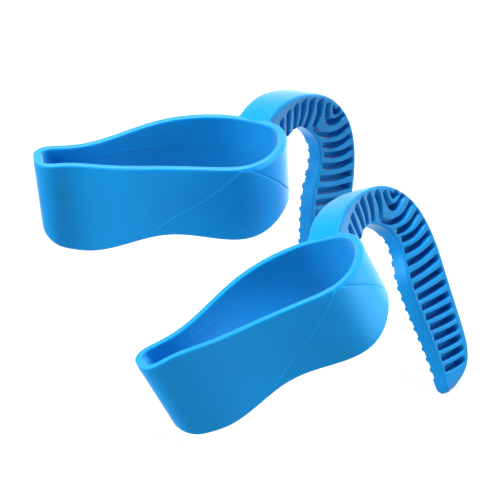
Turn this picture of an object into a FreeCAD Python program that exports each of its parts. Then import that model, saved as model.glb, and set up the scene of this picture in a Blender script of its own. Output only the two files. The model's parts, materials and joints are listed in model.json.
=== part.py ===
"""A pair of one-piece silicone ear hooks, each a teardrop sleeve with a ribbed hook.

Each hook is moulded in one shot.  It is written out as two solids, the sleeve
that is pushed over an earbud and the hook arm that tucks into the ear, which
meet in a close round seat at the root of the arm so that the arm can flex.
Both hooks are the same moulding.  The front one stands on the narrow end of
its sleeve and on its arm tip, the rear one stands behind it on its arm tip.

Unit frame of one moulding: origin at the centre of the wide end of the sleeve,
level with the upper rim, +X toward the wide end, +Z up the sleeve.
Row frame: +Z up from the surface the pair stands on, -Y to the front, where the
open rims lean.
"""
import FreeCAD, Part
import math
import os

V = FreeCAD.Vector
os.makedirs("parts", exist_ok=True)

# ---------------------------------------------------------------- sleeve (mm)
WIDE_R = 4.90            # outer radius of the round, wide end
NARROW_X = -14.21        # tip of the narrow end
WALL = 0.64              # wall thickness of the sleeve
DRAFT = 2.2              # degrees, the sleeve is wider at the upper rim
TUBE_TOP, TUBE_BOTTOM = 1.6, -8.2

# half width of the teardrop at stations along its axis
FLANK = [(-13.97, 1.00), (-13.58, 1.55), (-12.95, 1.84), (-12.05, 1.85),
         (-11.10, 1.90), (-8.95, 2.58), (-5.87, 3.85), (-3.63, 4.52),
         (-1.76, 4.82)]

# side view of the rims, height against distance along the axis
UPPER_RIM = [(-15.2, 0.20), (-14.2, 0.16), (-12.2, 0.08), (-9.2, -0.08),
             (-4.75, 0.18), (-1.0, 0.02), (0.86, -0.22), (2.4, -0.36),
             (3.85, -0.24), (4.9, 0.02), (5.9, 0.25)]
LOWER_RIM = [(-15.2, -4.20), (-14.2, -4.85), (-13.8, -5.55), (-13.35, -6.15),
             (-12.7, -6.65), (-11.6, -7.08), (-10.4, -7.22), (-9.1, -6.96),
             (-6.8, -6.05), (-5.2, -5.52), (-3.8, -5.38), (-1.9, -5.64),
             (0.0, -6.03), (1.1, -6.15), (2.1, -6.11), (3.0, -5.89),
             (3.7, -5.56), (4.7, -4.92), (5.9, -4.22)]

# ------------------------------------------------------------------- arm (mm)
ARM_AZIMUTH = 57.0       # where the arm leaves the wide end, from +X
# outer point, inner point, half width outside, half width inside; distances
# out from the sleeve and heights, in the arm's own plane
STATIONS = [
    (-0.38, -0.42, -0.38, -4.15, 1.30, 0.95),
    (0.60, -0.16, 0.90, -3.90, 1.35, 0.84),
    (1.90, -0.02, 2.15, -3.58, 1.36, 0.76),
    (3.30, -0.15, 3.25, -3.38, 1.36, 0.70),
    (4.72, -0.48, 4.20, -3.28, 1.36, 0.65),
    (6.15, -1.02, 5.12, -3.42, 1.36, 0.61),
    (7.68, -1.78, 5.92, -3.88, 1.35, 0.58),
    (9.15, -2.82, 6.66, -4.58, 1.34, 0.56),
    (10.38, -4.20, 7.28, -5.35, 1.32, 0.54),
    (11.24, -5.72, 7.64, -6.20, 1.29, 0.53),
    (11.62, -7.30, 7.68, -7.12, 1.26, 0.52),
    (11.54, -8.95, 7.24, -8.12, 1.23, 0.54),
    (11.12, -10.58, 6.45, -9.18, 1.20, 0.54),
    (10.52, -12.10, 5.88, -10.42, 1.17, 0.54),
    (9.92, -13.60, 5.48, -11.90, 1.14, 0.54),
    (9.32, -15.08, 5.12, -13.42, 1.11, 0.54),
    (8.72, -16.42, 4.70, -14.95, 1.06, 0.53),
    (8.00, -17.44, 4.25, -16.42, 1.00, 0.52),
    (7.06, -18.12, 3.90, -17.32, 0.88, 0.48),
    (5.96, -18.46, 3.74, -17.90, 0.69, 0.39),
    (4.86, -18.54, 3.83, -18.28, 0.38, 0.24),
]
OUTER_EDGE, INNER_EDGE = 0.30, 0.14     # edge rounding of the arm's section

# slots between the ribs, on both side faces
SLOT_DEPTH = 0.50
LEG_SLOT_W, ARCH_SLOT_W, ELBOW_SLOT_W = 0.50, 0.66, 0.60
# rings of the elbow, each an arc through three points: the drop in the
# middle, the one round it, and the long one that passes under both
DROP = ((9.12, -3.50), (9.34, -3.92), (9.70, -4.08))
RING = ((8.38, -3.00), (8.76, -4.70), (10.40, -4.82))
WRAP = ((7.30, -4.50), (8.85, -5.78), (10.90, -5.85))
# arch slots: upper end, lower end, and how far the middle bows out
ARCH_SLOTS = [(1.88, -1.50, 2.02, -2.40, 0.02), (2.93, -1.25, 3.12, -2.62, 0.02),
              (4.05, -1.20, 4.24, -2.58, 0.05), (5.15, -1.36, 5.16, -2.70, 0.10),
              (6.30, -1.80, 6.12, -3.12, 0.12), (7.43, -2.38, 7.22, -3.55, 0.14)]
LEG_SLOTS = 14
LEG_IN, LEG_IN_STEP = -6.40, 0.806      # heights of their inner ends
LEG_OUT, LEG_OUT_STEP, LEG_OUT_EASE = -6.88, 1.02, 0.0142
IN_MARGIN, OUT_MARGIN = 0.58, 0.42      # from the arm's contour to a slot's end

# ------------------------------------------------------------ flex joint (mm)
FLEX_AT = (1.30, -1.95)  # axis of the stand-in hinge, in the arm's plane
SEAT_R = 2.02            # round seat at the root
SEAT_GAP = 0.05

# ------------------------------------------------------------- placing (mm)
FRONT_YAW, FRONT_TILT = 14.4, -31.8     # degrees about Z, then about Y
SLOPE = 21.87                           # the rear one is turned about a line
REAR_TURN = -24.37                      # that rises at SLOPE toward the front
REAR_ASIDE, REAR_UP = -8.21, 10.74      # between the mid sleeves, square to it
MID_SLEEVE = (-4.75, 0.0, -1.945)


def spline(points, closed=False):
    curve = Part.BSplineCurve()
    curve.interpolate(Points=points, PeriodicFlag=closed)
    return curve.toShape()


def teardrop(inset, z):
    """Plan outline of the sleeve, moved in by inset, at height z."""
    r = WIDE_R
    half = [(NARROW_X, 0.0)] + FLANK
    half += [(r * math.cos(math.radians(a)), r * math.sin(math.radians(a)))
             for a in range(90, 0, -15)] + [(r, 0.0)]
    loop = half + [(x, -y) for x, y in reversed(half[1:-1])]
    n = len(loop)
    pts = []
    for i, (x, y) in enumerate(loop):
        xa, ya = loop[i - 1]
        xb, yb = loop[(i + 1) % n]
        tx, ty = xb - xa, yb - ya
        t = math.hypot(tx, ty)
        pts.append(V(x + inset * ty / t, y - inset * tx / t, z))
    return Part.Wire([spline(pts, True)])


def tube(inset):
    """Drafted solid of the teardrop."""
    spread = math.tan(math.radians(DRAFT))
    wires = [teardrop(inset - z * spread, z) for z in (TUBE_BOTTOM, TUBE_TOP)]
    return Part.makeLoft(wires, True, True)


def rims():
    """Solid between the two waved rims, through the whole sleeve."""
    low = [V(x, -12, z) for x, z in LOWER_RIM]
    high = [V(x, -12, z) for x, z in UPPER_RIM]
    outline = Part.Wire([spline(low), Part.makeLine(low[-1], high[-1]),
                         spline(high[::-1]), Part.makeLine(high[0], low[0])])
    return Part.Face(outline).extrude(V(0, 24, 0))


def in_arm(h, w, z):
    """Point of the arm's plane, h out from the sleeve and w across."""
    a = math.radians(ARM_AZIMUTH)
    c, s = math.cos(a), math.sin(a)
    return V((WIDE_R + h) * c + w * s, (WIDE_R + h) * s - w * c, z)


def section(ho, zo, hi, zi, wo, wi):
    """Rounded wedge between an inner and an outer point."""
    d = math.hypot(ho - hi, zo - zi)
    uh, uz = (ho - hi) / d, (zo - zi) / d
    ro, ri = min(OUTER_EDGE, 0.45 * wo, 0.3 * d), min(INNER_EDGE, 0.4 * wi, 0.2 * d)

    def at(u, w):
        return in_arm(hi + uh * u, w, zi + uz * u)

    slope = (wo - wi) / d
    q = 1 - math.sqrt(0.5)
    edges = []
    for sign in (1, -1):
        a0, a1, a2 = (at(0, sign * (wi - ri)), at(q * ri, sign * (wi - q * ri)),
                      at(ri, sign * (wi + slope * ri)))
        b0, b1, b2 = (at(d - ro, sign * (wo - slope * ro)),
                      at(d - q * ro, sign * (wo - q * ro)), at(d, sign * (wo - ro)))
        side = [Part.Arc(a0, a1, a2).toShape(), Part.makeLine(a2, b0),
                Part.Arc(b0, b1, b2).toShape()]
        if sign == 1:
            edges += side + [Part.makeLine(b2, at(d, -(wo - ro)))]
        else:
            edges += side[::-1] + [Part.makeLine(a0, at(0, wi - ri))]
    return Part.Wire(Part.__sortEdges__(edges))


def arm_solid(inset=0.0):
    """The whole arm, or its core when the side faces are moved in."""
    wires = [section(ho, zo, hi, zi, max(wo - inset, 0.12), max(wi - inset, 0.08))
             for ho, zo, hi, zi, wo, wi in STATIONS]
    return Part.makeLoft(wires, True, False)


def prism(wire):
    """Solid through the arm from a flat outline drawn at w = -3."""
    a = math.radians(ARM_AZIMUTH)
    return Part.Face(wire).extrude(V(6 * math.sin(a), -6 * math.cos(a), 0))


def slot(p, m, q, width):
    """Round-ended slot along the arc through three points (h, z)."""
    (x1, y1), (x2, y2), (x3, y3) = p, m, q
    k = 2 * (x1 * (y2 - y3) + x2 * (y3 - y1) + x3 * (y1 - y2))
    if abs(k) < 1e-3:
        x2, y2 = x2 + 0.004 * (y3 - y1), y2 - 0.004 * (x3 - x1)
        k = 2 * (x1 * (y2 - y3) + x2 * (y3 - y1) + x3 * (y1 - y2))
    s1, s2, s3 = x1 * x1 + y1 * y1, x2 * x2 + y2 * y2, x3 * x3 + y3 * y3
    cx = (s1 * (y2 - y3) + s2 * (y3 - y1) + s3 * (y1 - y2)) / k
    cy = (s1 * (x3 - x2) + s2 * (x1 - x3) + s3 * (x2 - x1)) / k
    r = math.hypot(x1 - cx, y1 - cy)
    e = width / 2

    def off(x, y, o):
        f = (r + o) / r
        return in_arm(cx + (x - cx) * f, -3, cy + (y - cy) * f)

    def cap(x, y, nx, ny):
        t = math.hypot(x - nx, y - ny)
        return in_arm(x + (x - nx) / t * e, -3, y + (y - ny) / t * e)

    def near(x, y, xo, yo):
        """A point a little before the end, to give the end's direction."""
        a = math.atan2(y - cy, x - cx)
        b = math.atan2(y2 - cy, x2 - cx)
        turn = (b - a + math.pi) % (2 * math.pi) - math.pi
        a += math.copysign(min(abs(turn), 0.05 / r), turn)
        return cx + r * math.cos(a), cy + r * math.sin(a)

    n1, n3 = near(x1, y1, x2, y2), near(x3, y3, x2, y2)
    return prism(Part.Wire(Part.__sortEdges__([
        Part.Arc(off(x1, y1, e), off(x2, y2, e), off(x3, y3, e)).toShape(),
        Part.Arc(off(x3, y3, e), cap(x3, y3, *n3), off(x3, y3, -e)).toShape(),
        Part.Arc(off(x3, y3, -e), off(x2, y2, -e), off(x1, y1, -e)).toShape(),
        Part.Arc(off(x1, y1, -e), cap(x1, y1, *n1), off(x1, y1, e)).toShape()])))


def contour(side, z):
    """How far out the leg's inner (2) or outer (0) contour is at height z."""
    leg = [(st[side], st[side + 1]) for st in STATIONS[8:]]
    for (ha, za), (hb, zb) in zip(leg, leg[1:]):
        if zb <= z <= za:
            return ha + (hb - ha) * (za - z) / (za - zb)
    return leg[0][0]


def slots():
    """All slots of the arm, each straight through."""
    out = [slot(*line, ELBOW_SLOT_W) for line in (DROP, RING, WRAP)]
    for h1, z1, h2, z2, bow in ARCH_SLOTS:
        middle = ((h1 + h2) / 2 + bow, (z1 + z2) / 2)
        out.append(slot((h1, z1), middle, (h2, z2), ARCH_SLOT_W))
    for i in range(LEG_SLOTS):
        zi = LEG_IN - LEG_IN_STEP * i
        zo = LEG_OUT - LEG_OUT_STEP * i + LEG_OUT_EASE * i * i
        hi = contour(2, zi) + IN_MARGIN
        ho = contour(0, zo) - OUT_MARGIN
        sag = max(0.05, 0.30 - 0.05 * i)
        out.append(slot((hi, zi), ((hi + ho) / 2, (zi + zo) / 2 - sag), (ho, zo),
                        LEG_SLOT_W))
    return out


def one_solid(shape):
    """The largest solid of a result, cleaned."""
    solids = sorted(shape.Solids, key=lambda s: s.Volume)
    return solids[-1].removeSplitter()


# ------------------------------------------------------------- one moulding
shell = tube(0.0).cut(tube(WALL)).common(rims())
shell = one_solid(shell)

arm = arm_solid()
core = arm_solid(SLOT_DEPTH)
cutters = [p.cut(core) for p in slots()]
ribbed = arm.cut(cutters)
ribbed = one_solid(ribbed)

fh, fz = FLEX_AT
across = in_arm(0, 1, 0).sub(in_arm(0, 0, 0))
axis_point = in_arm(fh, 0, fz)


def seat(radius):
    """Everything on the sleeve's side of a round seat about the flex axis."""
    start = in_arm(fh, -4, fz)
    drum = Part.makeCylinder(radius, 8, start, across)
    back = Part.makeBox(12, 8, 12, V(-12, -4, -6))
    turn = FreeCAD.Rotation(V(0, 0, 1), ARM_AZIMUTH)
    back.Placement = FreeCAD.Placement(in_arm(fh, 0, fz), turn)
    return drum.fuse(back)


stub = ribbed.common(seat(SEAT_R))
sleeve = one_solid(shell.fuse(one_solid(stub)))
hook = one_solid(ribbed.cut(seat(SEAT_R + SEAT_GAP)))

# ----------------------------------------------------------------- placing
front = (FreeCAD.Rotation(V(0, 0, 1), FRONT_YAW)
         .multiply(FreeCAD.Rotation(V(0, 1, 0), FRONT_TILT)))
e = math.radians(SLOPE)
rear = FreeCAD.Rotation(V(0, -math.cos(e), math.sin(e)), REAR_TURN).multiply(front)


def placed(shape, rotation, base):
    out = shape.copy()
    out.Placement = FreeCAD.Placement(base, rotation)
    return out


low = min(placed(s, front, V(0, 0, 0)).optimalBoundingBox().ZMin for s in (sleeve, hook))
front_base = V(0, 0, -low)
mid_front = front_base.add(front.multVec(V(*MID_SLEEVE)))
rear_base = mid_front.add(V(REAR_ASIDE, REAR_UP * math.sin(e), REAR_UP * math.cos(e)))
rear_base = rear_base.sub(rear.multVec(V(*MID_SLEEVE)))
# it goes back down that line until its arm tip is on the surface
back = placed(hook, rear, rear_base).optimalBoundingBox().ZMin / math.sin(e)
rear_base = rear_base.add(V(0, math.cos(e), -math.sin(e)) * back)
print("front base", front_base, "rear base", rear_base, "back", back)

# the row's origin is under the middle of the pair
box = None
parts = {}
for name, shape, rotation, base in (("front_sleeve", sleeve, front, front_base),
                                    ("front_hook", hook, front, front_base),
                                    ("rear_sleeve", sleeve, rear, rear_base),
                                    ("rear_hook", hook, rear, rear_base)):
    parts[name] = placed(shape, rotation, base)
    b = parts[name].optimalBoundingBox()
    if box is None:
        box = FreeCAD.BoundBox(b)
    else:
        box.add(b)
shift = V(-(box.XMin + box.XMax) / 2, -(box.YMin + box.YMax) / 2, -box.ZMin)
print("box", box, "shift", shift)
for name, shape in parts.items():
    shape.translate(shift)
    shape.exportStep("parts/%s.step" % name)
    print(name, shape.isValid(), len(shape.Solids), round(shape.Volume, 3),
          shape.CenterOfMass)

for name, rotation, base in (("front", front, front_base), ("rear", rear, rear_base)):
    at = rotation.multVec(axis_point).add(base).add(shift)
    print(name, "flex at", at, "axis", rotation.multVec(across))
    print(name, "sleeve centre", rotation.multVec(V(*MID_SLEEVE)).add(base).add(shift),
          "sleeve axis", rotation.multVec(V(0, 0, 1)),
          "along", rotation.multVec(V(1, 0, 0)))
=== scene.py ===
"""Looks of a pair of moulded silicone ear hooks.

Each moulding is a teardrop sleeve with waved rims and a ribbed hook arm.  It is
worked out once, in millimetres in its own frame (origin at the centre of the
sleeve's wide end, level with the upper rim, +X to the wide end, +Z up the
sleeve), and then set in its two places in the row.
"""
import json
import math

import bpy
import numpy as np
from mathutils import Matrix, Vector


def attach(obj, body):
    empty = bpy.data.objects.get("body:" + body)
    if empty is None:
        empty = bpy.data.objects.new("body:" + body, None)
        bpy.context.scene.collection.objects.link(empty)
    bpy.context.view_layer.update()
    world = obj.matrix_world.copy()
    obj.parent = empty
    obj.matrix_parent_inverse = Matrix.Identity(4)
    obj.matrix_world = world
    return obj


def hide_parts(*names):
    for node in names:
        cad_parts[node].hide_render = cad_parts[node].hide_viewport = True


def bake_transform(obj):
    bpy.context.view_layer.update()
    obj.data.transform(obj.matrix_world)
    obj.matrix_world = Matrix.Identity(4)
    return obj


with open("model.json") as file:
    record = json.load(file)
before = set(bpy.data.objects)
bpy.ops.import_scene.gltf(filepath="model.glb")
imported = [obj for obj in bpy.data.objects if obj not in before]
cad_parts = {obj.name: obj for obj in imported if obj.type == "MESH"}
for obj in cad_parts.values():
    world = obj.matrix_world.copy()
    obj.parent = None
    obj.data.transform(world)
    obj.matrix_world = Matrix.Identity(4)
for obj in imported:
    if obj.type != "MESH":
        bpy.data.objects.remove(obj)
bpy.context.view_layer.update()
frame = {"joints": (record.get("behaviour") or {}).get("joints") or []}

MM = 0.001

# ---------------------------------------------------------------- sleeve (mm)
WIDE_R = 4.90
NARROW_X = -14.04
WALL = 0.64
SPREAD = math.tan(math.radians(2.2))
FLANK = [(-13.97, 1.00), (-13.58, 1.55), (-12.95, 1.84), (-12.05, 1.85),
         (-11.10, 1.90), (-8.95, 2.58), (-5.87, 3.85), (-3.63, 4.52),
         (-1.76, 4.82)]
# heights of the rims along the sleeve
UPPER_RIM = [(-15.2, 0.20), (-14.2, 0.16), (-12.2, 0.08), (-9.2, -0.08),
             (-4.75, 0.18), (-1.0, 0.02), (0.86, -0.22), (2.4, -0.36),
             (3.85, -0.24), (4.9, 0.02), (5.9, 0.25)]
LOWER_RIM = [(-15.2, -4.20), (-14.2, -4.85), (-13.8, -5.55), (-13.35, -6.15),
             (-12.7, -6.65), (-11.6, -7.08), (-10.4, -7.22), (-9.1, -6.96),
             (-6.8, -6.05), (-5.2, -5.52), (-3.8, -5.38), (-1.9, -5.64),
             (0.0, -6.03), (1.1, -6.15), (2.1, -6.11), (3.0, -5.89),
             (3.7, -5.56), (4.7, -4.92), (5.9, -4.22)]
# section of the rim: in from the outer face, down from the rim; the second one
# has the bevelled lip of the wide end
RIM = [(0, 0.50), (0, 0.42), (0, 0.36), (0, 0.29), (0, 0.22), (0.004, 0.15),
       (0.02, 0.09), (0.05, 0.04), (0.09, 0.012), (0.14, 0), (0.20, 0.006),
       (0.28, 0.018), (0.38, 0.018), (0.46, 0.008), (0.52, 0), (0.57, 0.012),
       (0.61, 0.045), (0.634, 0.10), (WALL, 0.17), (WALL, 0.30)]
LIP = [(0, 0.50), (-0.012, 0.42), (-0.018, 0.37), (-0.006, 0.33), (0.03, 0.26),
       (0.06, 0.18), (0.088, 0.11), (0.11, 0.055), (0.145, 0.018), (0.19, 0),
       (0.24, 0.006), (0.30, 0.018), (0.38, 0.018), (0.46, 0.008), (0.52, 0),
       (0.57, 0.012), (0.61, 0.045), (0.634, 0.10), (WALL, 0.17), (WALL, 0.30)]
# section of the lower rim, from the inner face to the outer one: in, up
FOOT = [(WALL, 0.30), (WALL, 0.16), (0.63, 0.09), (0.60, 0.04), (0.55, 0.01),
        (0.49, 0), (0.32, 0), (0.15, 0), (0.09, 0.01), (0.04, 0.04),
        (0.01, 0.09), (0, 0.16), (0, 0.32)]
LIP_FROM, LIP_TO = 0.5, 2.4     # along the sleeve, where the rim gains its lip
AROUND, UP = 960, 84     # rows of the sleeve's mesh

# raised and sunk lines that the tool's inserts leave on the wall: how far they
# stand out, their half width, and their route
OUTER_LINES = [
    (0.060, 0.075, [(-6.6, -3.6, -6.0), (-5.39, -3.86, -5.0), (-3.59, -4.41, -3.69),
                    (-1.99, -4.69, -2.79), (-0.43, -4.83, -1.72),
                    (0.55, -4.83, -0.99), (1.3, -4.72, -0.42)]),
    (-0.060, 0.055, [(1.9, -4.52, -0.50), (2.11, -4.40, -0.64), (3.02, -3.78, -1.44),
                     (3.74, -3.04, -2.23), (4.37, -1.92, -3.34), (4.72, -0.06, -4.70)])]
INNER_LINES = [
    (0.030, 0.065, [(-10.25, 1.39, -1.11), (-7.59, 2.42, -1.22), (-5.34, 3.34, -1.59),
                    (-3.05, 3.94, -1.87), (-0.48, 4.18, -2.12), (1.6, 3.95, -2.21)]),
    (0.022, 0.060, [(-8.2, 2.2, -2.1), (-4.31, 3.61, -2.92), (-1.67, 4.06, -3.34),
                    (0.9, 4.05, -3.60)])]

# ------------------------------------------------------------------- arm (mm)
ARM_AZIMUTH = math.radians(57.0)
# outer contour, inner contour (both: out from the sleeve, height), then half the
# thickness at the outer and at the inner one
STATIONS = [
    (-0.38, -0.40, -0.38, -4.15, 1.38, 0.95),
    (0.60, -0.13, 0.90, -3.90, 1.41, 0.84),
    (1.90, 0.02, 2.15, -3.58, 1.41, 0.76),
    (3.30, -0.11, 3.25, -3.38, 1.40, 0.70),
    (4.72, -0.48, 4.20, -3.28, 1.36, 0.65),
    (6.15, -1.02, 5.12, -3.42, 1.36, 0.61),
    (7.68, -1.78, 5.92, -3.88, 1.35, 0.58),
    (9.15, -2.82, 6.66, -4.58, 1.34, 0.58),
    (10.38, -4.20, 7.26, -5.35, 1.32, 0.60),
    (11.24, -5.72, 7.60, -6.20, 1.29, 0.61),
    (11.62, -7.30, 7.64, -7.12, 1.26, 0.61),
    (11.54, -8.95, 7.20, -8.12, 1.23, 0.62),
    (11.12, -10.58, 6.41, -9.18, 1.20, 0.62),
    (10.52, -12.10, 5.84, -10.42, 1.17, 0.62),
    (9.92, -13.60, 5.45, -11.90, 1.14, 0.62),
    (9.36, -15.08, 5.10, -13.42, 1.11, 0.61),
    (8.84, -16.42, 4.70, -14.95, 1.07, 0.59),
    (8.24, -17.46, 4.24, -16.42, 1.02, 0.56),
    (7.36, -18.20, 3.84, -17.32, 0.93, 0.53),
    (6.16, -18.46, 3.62, -17.88, 0.78, 0.46),
    (4.98, -18.48, 3.68, -18.18, 0.52, 0.34),
]
OUTER_EDGE, INNER_EDGE = 0.36, 0.16
CROWN = 0.04             # bulge of the outer face
ROOT_FILLET = 0.38
CORE = 0.05              # half thickness that stays between two slots
ROOT_LENGTH = 1.1        # of the finer rows at the root
ROOT_ROWS, ARM_ROWS, TIP_ROWS = 56, 640, 12
TIP_REACH, TIP_CLOSE = 0.20, 0.985
# points of half a section: inner face, its edge, side, its edge, outer face
INNER_COLS, INNER_EDGE_COLS, SIDE_COLS, OUTER_EDGE_COLS, OUTER_COLS = 6, 7, 92, 12, 14

# slots between the ribs: their line, then half width and depth at both ends
ELBOW = [[((9.10, -3.44), (9.28, -3.90), (9.66, -4.04)), (0.12, 0.31), (0.90, 1.00)],
         [((8.40, -3.06), (8.78, -4.56), (10.28, -4.72)), (0.26, 0.30), (1.00, 0.90)],
         [((7.06, -4.44), (8.86, -5.76), (10.74, -5.80)), (0.20, 0.30), (0.60, 1.00)]]
# arch slots: upper end, lower end, and how far the middle bows out
ARCH = [(1.88, -1.48, 2.05, -3.30, 0.02), (2.93, -1.25, 3.16, -3.12, 0.00),
        (4.05, -1.22, 4.26, -3.04, 0.05), (5.15, -1.38, 5.10, -3.10, 0.10),
        (6.28, -1.82, 6.00, -3.55, 0.13), (7.40, -2.40, 7.08, -4.00, 0.18)]
ARCH_HALF, ARCH_DEPTH = (0.36, 0.27), (1.00, 0.65)
LEG_SLOTS = 14
LEG_IN, LEG_IN_STEP = -6.32, 0.806
LEG_OUT, LEG_OUT_STEP, LEG_OUT_EASE = -6.80, 1.02, 0.0142
LEG_HALF, LEG_DEPTH = (0.27, 0.26), (0.66, 1.05)
LEG_BOW, LEG_BOW_STEP, LEG_BOW_LEAST = 0.30, 0.05, 0.05
IN_MARGIN, FAR_MARGIN = 0.60, 0.12
OUT_MARGIN, OUT_MARGIN_STEP = 0.54, 0.05
END_SQUARE = 3.4                # shape of the slots' ends: 2 is round
WALL_START, WALL_END = -0.025, 0.085    # where a slot's side goes down

# ------------------------------------------------------------- placing (mm)
FRONT_YAW, FRONT_TILT = math.radians(14.4), math.radians(-31.8)
SLOPE, REAR_TURN = math.radians(21.87), math.radians(-24.37)
FLEX_AT = (1.30, -1.95)  # the flex hinge: out from the sleeve, height
MID_SLEEVE = (-4.75, 0, -1.945)
flex_at = {j["name"]: Vector(j["pos_m"]) for j in frame["joints"] if j["type"] == "hinge"}


# ------------------------------------------------------------------- helpers
def curve(points, closed=False):
    """Cubic through the points, as a function of 0..1 along their chords."""
    p = np.asarray(points, float)
    if closed:
        p = np.vstack([p, p[:1]])
    chord = np.linalg.norm(np.diff(p, axis=0), axis=1)
    u = np.concatenate([[0], np.cumsum(chord)]) / chord.sum()
    h, n = np.diff(u), len(p)
    slope = np.diff(p, axis=0) / h[:, None]
    a, b = np.zeros((n, n)), np.zeros(p.shape)
    for i in range(1, n - 1):
        a[i, i - 1:i + 2] = h[i - 1], 2 * (h[i - 1] + h[i]), h[i]
        b[i] = 6 * (slope[i] - slope[i - 1])
    a[0, 0] = a[-1, -1] = 1
    if closed:
        a[0, -1] = -1
        a[-1, -1] = 0
        a[-1, [0, 1, n - 2]] = 2 * (h[0] + h[-1]), h[0], h[-1]
        b[-1] = 6 * (slope[0] - slope[-1])
    m = np.linalg.solve(a, b)

    def at(t):
        t = np.asarray(t, float)
        i = np.clip(np.searchsorted(u, t, side="right") - 1, 0, n - 2)
        d, e, w = (t - u[i])[:, None], (u[i + 1] - t)[:, None], h[i][:, None]
        return ((m[i] * e ** 3 + m[i + 1] * d ** 3) / (6 * w)
                + (p[i] / w - m[i] * w / 6) * e + (p[i + 1] / w - m[i + 1] * w / 6) * d)
    return at


def evenly(at, n, closed=False):
    """n points of a curve at equal distances along it."""
    fine = at(np.linspace(0, 1, 6001))
    run = np.concatenate([[0], np.cumsum(np.linalg.norm(np.diff(fine, axis=0), axis=1))])
    want = np.linspace(0, run[-1], n + 1 if closed else n)[:n]
    return np.stack([np.interp(want, run, c) for c in fine.T], 1)


def smooth(lo, hi, x):
    t = np.clip((x - lo) / (hi - lo), 0, 1)
    return t * t * (3 - 2 * t)


def height_of(rim):
    """Height of a rim as a function of the distance along the sleeve."""
    fine = curve(rim)(np.linspace(0, 1, 2001))
    return lambda x: np.interp(x, fine[:, 0], fine[:, 1])


def ring_faces(rows, cols, first=0, wrap_rows=False):
    """Quads of a grid whose columns close on themselves."""
    i = np.arange(rows if wrap_rows else rows - 1)[:, None]
    j = np.arange(cols)[None, :]
    i2, j2 = (i + 1) % rows, (j + 1) % cols
    quads = np.stack([i * cols + j, i * cols + j2, i2 * cols + j2, i2 * cols + j], -1)
    return quads.reshape(-1, 4) + first


def line_distance(points, line):
    """Distance of points from a smooth line in space."""
    steps = evenly(curve(line), 160)
    out = np.full(len(points), 1e9)
    lo, hi = steps.min(0) - 0.5, steps.max(0) + 0.5
    near = np.flatnonzero(np.all((points > lo) & (points < hi), axis=1))
    for part in np.array_split(near, max(1, len(near) // 4000)):
        gap = points[part][:, None, :] - steps[None, :, :]
        out[part] = np.sqrt((gap ** 2).sum(-1).min(1))
    return out


# -------------------------------------------------------------------- sleeve
def sleeve_mesh():
    """Vertices and quads of the sleeve."""
    r = WIDE_R
    half = [(NARROW_X, 0.0)] + FLANK
    half += [(r * math.cos(math.radians(a)), r * math.sin(math.radians(a)))
             for a in range(90, 0, -15)] + [(r, 0.0)]
    plan = curve(half + [(x, -y) for x, y in reversed(half[1:-1])], closed=True)
    p = evenly(plan, AROUND, closed=True)
    t = np.roll(p, -1, 0) - np.roll(p, 1, 0)
    t /= np.linalg.norm(t, axis=1)[:, None]
    out = np.stack([-t[:, 1], t[:, 0]], 1)

    # one loop round the wall: up the outside, over the rim, down the inside
    rise = np.linspace(0, 1, UP + 2)[1:-1]

    def loop(rim):
        foot_out, foot_in = FOOT[-1][1], FOOT[0][1]
        rim_out, rim_in = -rim[0][1], -rim[-1][1]
        outside = [(0, f, foot_out + (rim_out - foot_out) * f) for f in rise]
        over = [(a, 1, -d) for a, d in rim]
        inside = [(WALL, 1 - f, rim_in + (foot_in - rim_in) * f) for f in rise]
        under = [(a, 0, d) for a, d in FOOT]
        return np.array(outside + over + inside + under)

    plain, lipped = loop(RIM), loop(LIP)
    high, low = height_of(UPPER_RIM), height_of(LOWER_RIM)
    share = smooth(LIP_FROM, LIP_TO, p[:, 0])[:, None]
    a = plain[:, 0] * (1 - share) + lipped[:, 0] * share
    w = plain[None, :, 1]
    c = plain[:, 2] * (1 - share) + lipped[:, 2] * share
    z = np.zeros_like(a)
    for _ in range(4):       # the draft moves the rims, so their heights settle in turns
        o = -a + z * SPREAD
        x = p[:, 0:1] + out[:, 0:1] * o
        z = low(x) * (1 - w) + high(x) * w + c
    o = -a + z * SPREAD
    verts = np.stack([p[:, 0:1] + out[:, 0:1] * o, p[:, 1:2] + out[:, 1:2] * o, z], -1)

    flat = verts.reshape(-1, 3)
    push = np.zeros(len(flat))
    outer = np.broadcast_to(plain[:, 0] < 0.01, a.shape).ravel()
    inner = np.broadcast_to(plain[:, 0] > WALL - 0.01, a.shape).ravel()
    for side, lines in ((outer, OUTER_LINES), (inner, INNER_LINES)):
        for rise_by, width, line in lines:
            d = line_distance(flat[side], line)
            push[side] += (1 if side is outer else -1) * rise_by * np.exp(-(d / width) ** 2)
    n3 = np.repeat(np.concatenate([out, np.zeros((AROUND, 1))], 1), a.shape[1], 0)
    return flat + n3 * push[:, None], ring_faces(AROUND, a.shape[1], wrap_rows=True)[:, ::-1]


# ----------------------------------------------------------------------- arm
def in_arm(h, w, z):
    """Point of the arm's plane, h out from the sleeve and w across."""
    c, s = math.cos(ARM_AZIMUTH), math.sin(ARM_AZIMUTH)
    return np.stack(np.broadcast_arrays((WIDE_R + h) * c + w * s,
                                        (WIDE_R + h) * s - w * c, z), -1)


def contour(side, z):
    """How far out the leg's inner (2) or outer (0) contour is at height z."""
    leg = np.array([(st[side + 1], st[side]) for st in STATIONS[8:]])[::-1]
    return float(np.interp(z, leg[:, 0], leg[:, 1]))


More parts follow.
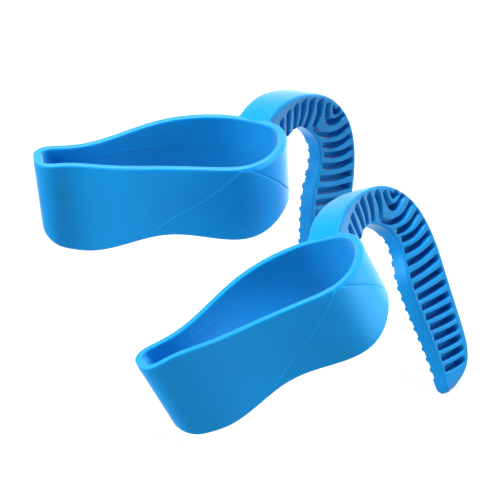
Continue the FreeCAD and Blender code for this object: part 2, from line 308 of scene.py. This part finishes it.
def slot_list(near):
    """Lines, half widths and depths of the slots of the near or far side."""
    slots = list(ELBOW)
    for h1, z1, h2, z2, bow in ARCH:
        mid = ((h1 + h2) / 2 + bow, (z1 + z2) / 2)
        slots.append([((h1, z1), mid, (h2, z2)), ARCH_HALF, ARCH_DEPTH])
    margin = IN_MARGIN if near else FAR_MARGIN
    for i in range(LEG_SLOTS):
        zi = LEG_IN - LEG_IN_STEP * i
        zo = LEG_OUT - LEG_OUT_STEP * i + LEG_OUT_EASE * i * i
        hi = contour(2, zi) + margin
        ho = contour(0, zo) - OUT_MARGIN - OUT_MARGIN_STEP * i
        mid = ((hi + ho) / 2, (zi + zo) / 2 - max(LEG_BOW_LEAST, LEG_BOW - LEG_BOW_STEP * i))
        slots.append([((hi, zi), mid, (ho, zo)), LEG_HALF, LEG_DEPTH])
    return slots


def slot_depth(h, z, slots):
    """How deep the slots are at points of a side face."""
    deep = np.zeros_like(h)
    for (a, m, b), (e0, e1), (d0, d1) in slots:
        a, m, b = np.array(a), np.array(m), np.array(b)
        t = np.linspace(0, 1, 19)[:, None]
        line = (1 - t) ** 2 * a + 2 * t * (1 - t) * (2 * m - (a + b) / 2) + t ** 2 * b
        lo, hi = line.min(0) - 0.5, line.max(0) + 0.5
        near = np.flatnonzero((h > lo[0]) & (h < hi[0]) & (z > lo[1]) & (z < hi[1]))
        if not len(near):
            continue
        q = np.stack([h[near], z[near]], 1)
        seg = line[1:] - line[:-1]
        length = np.linalg.norm(seg, axis=1)
        along = np.einsum("pk,sk->ps", q, seg) - (line[:-1] * seg).sum(1)
        k = along / length ** 2
        kc = np.clip(k, 0, 1)
        foot = line[:-1] + kc[..., None] * seg
        gap = np.linalg.norm(q[:, None] - foot, axis=-1)
        best = gap.argmin(1)
        row = np.arange(len(q))
        g, kk, kb = gap[row, best], k[row, best], kc[row, best]
        beyond = np.abs(kk - kb) * length[best]
        across = np.sqrt(np.maximum(g ** 2 - beyond ** 2, 0))
        g = (across ** END_SQUARE + beyond ** END_SQUARE) ** (1 / END_SQUARE)
        f = (best + kb) / len(seg)
        e = e0 + (e1 - e0) * f
        d = d0 + (d1 - d0) * f
        deep[near] = np.maximum(deep[near], d * smooth(WALL_START, WALL_END, e - g))
    return deep


def arm_mesh():
    """Vertices and quads of the arm, closed at both ends."""
    at = curve(STATIONS)
    fine = np.linspace(0, 1, 4001)
    rows = at(fine)
    mid = np.stack([rows[:, 0] + rows[:, 2], rows[:, 1] + rows[:, 3]], 1) / 2
    run = np.concatenate([[0], np.cumsum(np.linalg.norm(np.diff(mid, axis=0), axis=1))])
    want = np.concatenate([np.linspace(0, ROOT_LENGTH, ROOT_ROWS, endpoint=False),
                           np.linspace(ROOT_LENGTH, run[-1], ARM_ROWS)])
    ho, zo, hi, zi, wo, wi = at(np.interp(want, run, fine)).T
    # the tip closes in a few more rows
    s = np.sin(np.linspace(0, math.pi / 2, TIP_ROWS + 1))[1:] * TIP_CLOSE
    fall = np.sqrt(1 - s ** 2)
    ahead = np.array([ho[-1] - ho[-6] + hi[-1] - hi[-6], zo[-1] - zo[-6] + zi[-1] - zi[-6]])
    ahead = ahead / np.linalg.norm(ahead) * TIP_REACH
    mh, mz = (ho[-1] + hi[-1]) / 2, (zo[-1] + zi[-1]) / 2
    ho, hi = (np.concatenate([v, mh + (v[-1] - mh) * fall + ahead[0] * s]) for v in (ho, hi))
    zo, zi = (np.concatenate([v, mz + (v[-1] - mz) * fall + ahead[1] * s]) for v in (zo, zi))
    wo, wi = (np.concatenate([v, v[-1] * fall]) for v in (wo, wi))

    d = np.hypot(ho - hi, zo - zi)
    uh, uz = ((ho - hi) / d)[:, None], ((zo - zi) / d)[:, None]
    # the roundings shrink where the arm is thin
    ro = np.minimum(np.minimum(OUTER_EDGE, 0.45 * wo), 0.3 * d)
    ri = np.minimum(np.minimum(INNER_EDGE, 0.4 * wi), 0.2 * d)
    slope = (wo - wi) / d

    def bend(p0, p1, p2, n):
        t = np.linspace(0, 1, n, endpoint=False)
        return [np.stack([(1 - t) ** 2 * x0[:, None] + 2 * t * (1 - t) * x1[:, None]
                          + t ** 2 * x2[:, None] for x0, x1, x2 in zip(p0, p1, p2)])]

    def straight(p0, p1, n):
        t = np.linspace(0, 1, n, endpoint=False)
        return [np.stack([x0[:, None] + (x1 - x0)[:, None] * t for x0, x1 in zip(p0, p1)])]

    zero = np.zeros_like(d)
    corner_in = ((zero, wi - ri), (zero, wi), (ri, wi + slope * ri))
    corner_out = ((d - ro, wo - slope * ro), (d, wo), (d, wo - ro))
    half = straight((zero, zero), corner_in[0], INNER_COLS)
    half += bend(*corner_in, INNER_EDGE_COLS)
    half += straight(corner_in[2], corner_out[0], SIDE_COLS)
    half += bend(*corner_out, OUTER_EDGE_COLS)
    half += straight(corner_out[2], (d, zero), OUTER_COLS)
    half = np.concatenate(half + [np.stack([d[:, None], zero[:, None]])], 2)
    u, w = half
    u = u + CROWN * np.where(u >= d[:, None] - 1e-6,
                             1 - (w / np.maximum(wo - ro, 1e-6)[:, None]) ** 2, 0)
    du, dw = np.gradient(u, axis=1), np.gradient(w, axis=1)
    size = np.hypot(du, dw)
    nu, nw = -dw / size, du / size
    h, z = hi[:, None] + uh * u, zi[:, None] + uz * u

    out = []
    for sign in (1, -1):
        deep = slot_depth(h.ravel(), z.ravel(), slot_list(sign > 0)).reshape(h.shape)
        deep = np.minimum(deep * np.clip(nw, 0, 1), np.maximum(w - CORE, 0))
        cut = w - deep
        # the root spreads over the sleeve's wall
        flare_at = in_arm(h, sign * cut, z)
        reach = np.hypot(flare_at[..., 0], flare_at[..., 1])
        gap = np.clip((reach - WIDE_R - z * SPREAD) / ROOT_FILLET, 0, 1)
        flare = ROOT_FILLET * (1 - np.sqrt(1 - (1 - gap) ** 2))
        turn = np.arctan2(flare_at[..., 1], flare_at[..., 0]) - sign * nw * flare / reach
        down = np.minimum(nu * uz, 0) * flare
        out.append(np.stack([reach * np.cos(turn), reach * np.sin(turn), z + down], -1))
    near, far = out
    verts = np.concatenate([near, far[:, -2:0:-1]], 1)
    count, cols = verts.shape[:2]
    flat = verts.reshape(-1, 3)
    quads = ring_faces(count, cols)
    caps = []
    for row, flip in ((0, False), (count - 1, True)):
        centre = len(flat)
        flat = np.vstack([flat, verts[row].mean(0)])
        j = np.arange(cols)
        a, b = row * cols + j, row * cols + (j + 1) % cols
        tri = np.stack([np.full(cols, centre), b, a], 1)
        caps.append(tri[:, ::-1] if flip else tri)
    return flat, quads, np.vstack(caps)


def place(which):
    """Sets a moulding, in millimetres, with its hinge where the frame has it."""
    turn = Matrix.Rotation(FRONT_YAW, 4, "Z") @ Matrix.Rotation(FRONT_TILT, 4, "Y")
    if which == "rear":
        line = Vector((0, -math.cos(SLOPE), math.sin(SLOPE)))
        turn = Matrix.Rotation(REAR_TURN, 4, line) @ turn
    out, height = FLEX_AT
    hinge = Vector(in_arm(out, 0, height))
    return (Matrix.Translation(flex_at[which + "_flex"]) @ Matrix.Scale(MM, 4) @ turn
            @ Matrix.Translation(-hinge))


def add_piece(name, verts, quads, tris, at):
    m = np.array(at)
    world = verts @ m[:3, :3].T + m[:3, 3]
    faces = quads.tolist() + ([] if tris is None else tris.tolist())
    mesh = bpy.data.meshes.new(name)
    mesh.from_pydata(world.tolist(), [], faces)
    mesh.shade_smooth()
    mesh.validate()
    obj = bpy.data.objects.new(name, mesh)
    bpy.context.scene.collection.objects.link(obj)
    return obj


# ------------------------------------------------------------------ material
def silicone(name, shade):
    """Satin blue silicone: a slightly uneven colour and a fine matt grain."""
    mat = bpy.data.materials.new(name)
    mat.use_nodes = True
    nodes, links = mat.node_tree.nodes, mat.node_tree.links
    bsdf = nodes["Principled BSDF"]
    bsdf.inputs["Subsurface Weight"].default_value = 0.12
    bsdf.inputs["Subsurface Radius"].default_value = (0.2, 0.6, 1.0)
    bsdf.inputs["Subsurface Scale"].default_value = 0.0005
    bsdf.inputs["IOR"].default_value = 1.45
    bsdf.inputs["Specular IOR Level"].default_value = 0.25
    bsdf.inputs["Specular Tint"].default_value = (0.5, 0.95, 1.0, 1)
    bsdf.inputs["Sheen Weight"].default_value = 0.75
    bsdf.inputs["Sheen Roughness"].default_value = 0.30
    bsdf.inputs["Sheen Tint"].default_value = (0.75, 1.0, 1.0, 1)
    where = nodes.new("ShaderNodeTexCoord")

    def noise(scale, detail, rough=0.5):
        n = nodes.new("ShaderNodeTexNoise")
        n.inputs["Scale"].default_value = scale
        n.inputs["Detail"].default_value = detail
        n.inputs["Roughness"].default_value = rough
        links.new(where.outputs["Object"], n.inputs["Vector"])
        return n

    cloud = noise(170, 3)
    colour = nodes.new("ShaderNodeValToRGB")
    colour.color_ramp.elements[0].position = 0.30
    colour.color_ramp.elements[1].position = 0.70
    colour.color_ramp.elements[0].color = (*[c * 0.93 for c in shade], 1)
    colour.color_ramp.elements[1].color = (*[min(c * 1.07, 1) for c in shade], 1)
    links.new(cloud.outputs["Fac"], colour.inputs["Fac"])
    links.new(colour.outputs["Color"], bsdf.inputs["Base Color"])

    smear = noise(420, 4, 0.6)
    rough = nodes.new("ShaderNodeMapRange")
    rough.inputs["To Min"].default_value = 0.36
    rough.inputs["To Max"].default_value = 0.50
    links.new(smear.outputs["Fac"], rough.inputs["Value"])
    links.new(rough.outputs["Result"], bsdf.inputs["Roughness"])

    grain, ripple = noise(16000, 2), noise(900, 3)
    fine = nodes.new("ShaderNodeBump")
    fine.inputs["Strength"].default_value = 0.10
    fine.inputs["Distance"].default_value = 0.00002
    broad = nodes.new("ShaderNodeBump")
    broad.inputs["Strength"].default_value = 0.12
    broad.inputs["Distance"].default_value = 0.00006
    links.new(grain.outputs["Fac"], fine.inputs["Height"])
    links.new(ripple.outputs["Fac"], broad.inputs["Height"])
    links.new(broad.outputs["Normal"], fine.inputs["Normal"])
    links.new(fine.outputs["Normal"], bsdf.inputs["Normal"])
    return mat


# -------------------------------------------------------------------- pieces
BLUE = (0.002, 0.262, 0.660)
sleeve_verts, sleeve_quads = sleeve_mesh()
sleeves = bpy.data.collections.new("sleeves")
arm_verts, arm_quads, arm_tris = arm_mesh()
for which in ("front", "rear"):
    at = place(which)
    sleeve = add_piece(which + "_sleeve_shell", sleeve_verts, sleeve_quads, None, at)
    arm = add_piece(which + "_ribbed_arm", arm_verts, arm_quads, arm_tris, at)
    for obj, node in ((sleeve, which + "_sleeve"), (arm, which + "_hook")):
        obj.data.materials.append(silicone(node + "_silicone", BLUE))
        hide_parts(node)
    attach(sleeve, which + "_sleeve")
    sleeves.objects.link(sleeve)
    at @ Vector(in_arm(0.6, 0, -1.95))
    at @ Vector(in_arm(3.4, 0, -1.95))
    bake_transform(arm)

# --------------------------------------------------------------------- floor
bpy.ops.mesh.primitive_plane_add(size=1.6)
floor = bpy.context.object
floor.name = "floor"
pale = bpy.data.materials.new("pale_floor")
pale.use_nodes = True
plain = pale.node_tree.nodes["Principled BSDF"]
plain.inputs["Base Color"].default_value = (0.22, 0.22, 0.22, 1)
plain.inputs["Roughness"].default_value = 0.9
plain.inputs["Specular IOR Level"].default_value = 0.1
plain.inputs["Emission Color"].default_value = (1, 1, 1, 1)
plain.inputs["Emission Strength"].default_value = 0.90
floor.data.materials.append(pale)
floor.visible_diffuse = floor.visible_glossy = False   # backdrop only

# --------------------------------------------------------------------- light
world = bpy.data.worlds.new("studio")
world.use_nodes = True
sky, links = world.node_tree.nodes, world.node_tree.links
toward = sky.new("ShaderNodeTexCoord")
parts = sky.new("ShaderNodeSeparateXYZ")
links.new(toward.outputs["Generated"], parts.inputs["Vector"])


def band(axis, start, stop, dim, bright):
    """Sky brightness that rises along one axis."""
    node = sky.new("ShaderNodeMapRange")
    node.interpolation_type = "SMOOTHSTEP"
    for socket, value in zip(("From Min", "From Max", "To Min", "To Max"),
                             (start, stop, dim, bright)):
        node.inputs[socket].default_value = value
    links.new(parts.outputs[axis], node.inputs["Value"])
    return node.outputs["Result"]


both = sky.new("ShaderNodeMath")
links.new(band("Y", 0.40, 0.95, 0.13, 1.40), both.inputs[0])     # behind
links.new(band("Z", 0.10, -0.30, 0.0, 0.75), both.inputs[1])     # from the table
links.new(both.outputs["Value"], sky["Background"].inputs["Strength"])
sky["Background"].inputs["Color"].default_value = (0.97, 0.99, 1, 1)
bpy.context.scene.world = world


PAIR_MIDDLE = Vector((0, 0, 0.008))


def softbox(name, place_at, size, power):
    """Square area light that looks at the middle of the pair."""
    data = bpy.data.lights.new(name, "AREA")
    data.shape = "SQUARE"
    data.size = size
    data.energy = power
    lamp = bpy.data.objects.new(name, data)
    lamp.location = place_at
    aim = PAIR_MIDDLE - Vector(place_at)
    lamp.rotation_euler = aim.to_track_quat("-Z", "Y").to_euler()
    bpy.context.scene.collection.objects.link(lamp)
    return lamp


softbox("top_box", (0.02, 0.02, 0.40), 0.16, 2.4)
softbox("left_box", (-0.37, -0.15, 0.08), 0.20, 1.7)
softbox("low_box", (0.37, -0.10, 0.05), 0.12, 0.35)
# the right one has a screen that keeps it off the arms
right_box = softbox("right_box", (0.37, 0.02, 0.12), 0.28, 1.3)
right_box.light_linking.receiver_collection = sleeves
right_box.light_linking.blocker_collection = sleeves

# -------------------------------------------------------------------- camera
ELEVATION = SLOPE        # the rear hook is turned about the line of sight
ROLL = 0.0808            # radians
FRAME_WIDE = 36.94 * MM  # of the picture, at the front sleeve
AWAY = 1.6
AIM_ASIDE, AIM_UP = -0.600 * MM, 5.435 * MM      # from the middle of the front sleeve
SENSOR = 36
ahead = Vector((0, math.cos(ELEVATION), -math.sin(ELEVATION)))
level, lift = Vector((1, 0, 0)), Vector((0, math.sin(ELEVATION), math.cos(ELEVATION)))
right = level * math.cos(ROLL) + lift * math.sin(ROLL)
upward = lift * math.cos(ROLL) - level * math.sin(ROLL)
front_middle = place("front") @ Vector(MID_SLEEVE)
aim = front_middle + right * AIM_ASIDE + upward * AIM_UP
cam = bpy.data.cameras.new("camera")
cam.sensor_width = SENSOR
cam.lens = SENSOR * AWAY / FRAME_WIDE
cam.clip_start, cam.clip_end = 0.05, 10
eye = bpy.data.objects.new("camera", cam)
eye.matrix_world = Matrix.Translation(aim - ahead * AWAY) @ Matrix(
    (right, upward, -ahead)).transposed().to_4x4()
bpy.context.scene.collection.objects.link(eye)
bpy.context.scene.camera = eye
bpy.context.scene.view_settings.view_transform = "Standard"
